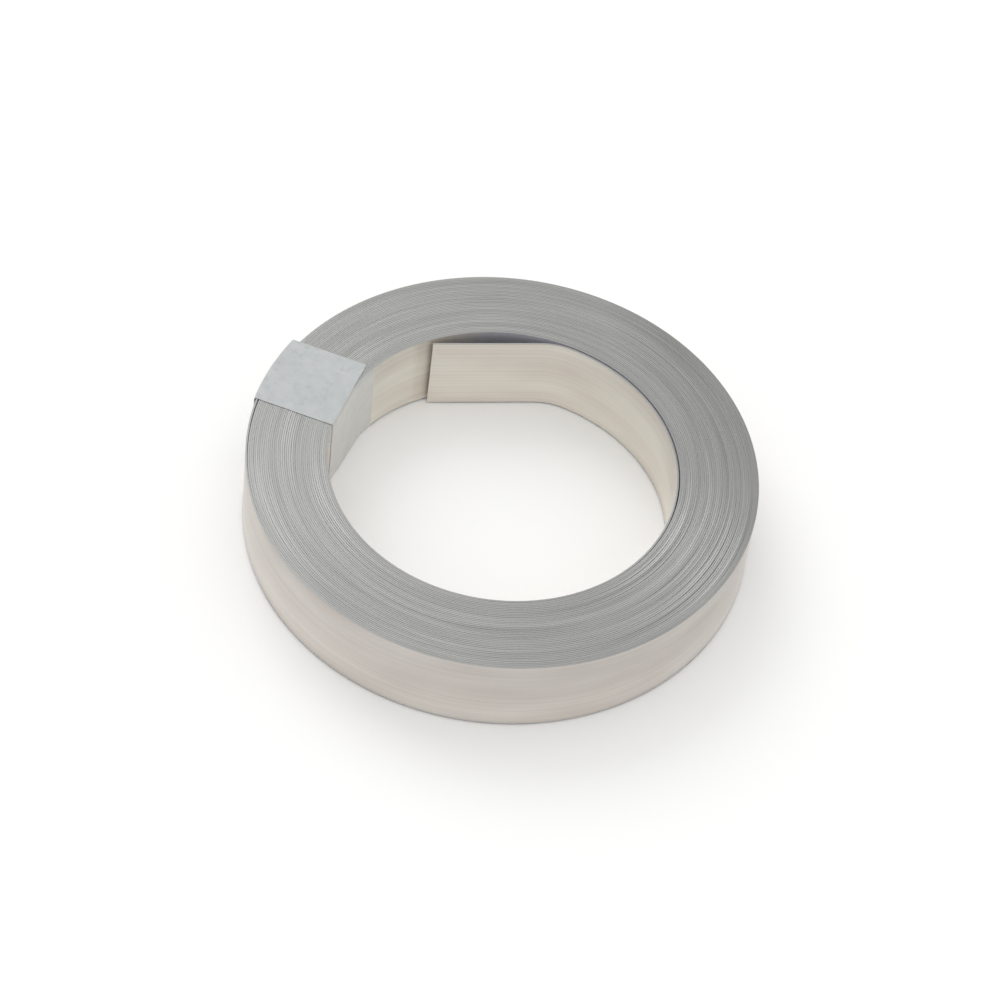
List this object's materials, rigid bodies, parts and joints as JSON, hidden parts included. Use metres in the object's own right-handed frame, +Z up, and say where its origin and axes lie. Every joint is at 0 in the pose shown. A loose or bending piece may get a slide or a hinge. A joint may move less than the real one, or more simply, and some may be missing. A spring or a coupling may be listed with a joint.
{
  "type": "nickel strip coil",
  "caption": "Flat coil of slit nickel-plated strip for joining battery cells, its inner end sprung off the eye's wall and its outer end held by a turn of paper tape.",
  "frame": {"origin": "on the winding axis of the coil, on the floor that it lies on", "axes": "+Z up along the winding axis; -Y faces the viewer of the picture and +X is to the viewer's right"},
  "size_m": [0.0693, 0.0688, 0.0123],
  "materials": {
    "nickel_strip": "satin nickel plating on the faces, bare grey slit edges on the ends of the coil",
    "paper_tape": "matt pale grey paper tape"
  },
  "bodies": {
    "root": {"nickel_strip": "nickel_strip", "tape": "paper_tape"}
  },
  "joints": []
}
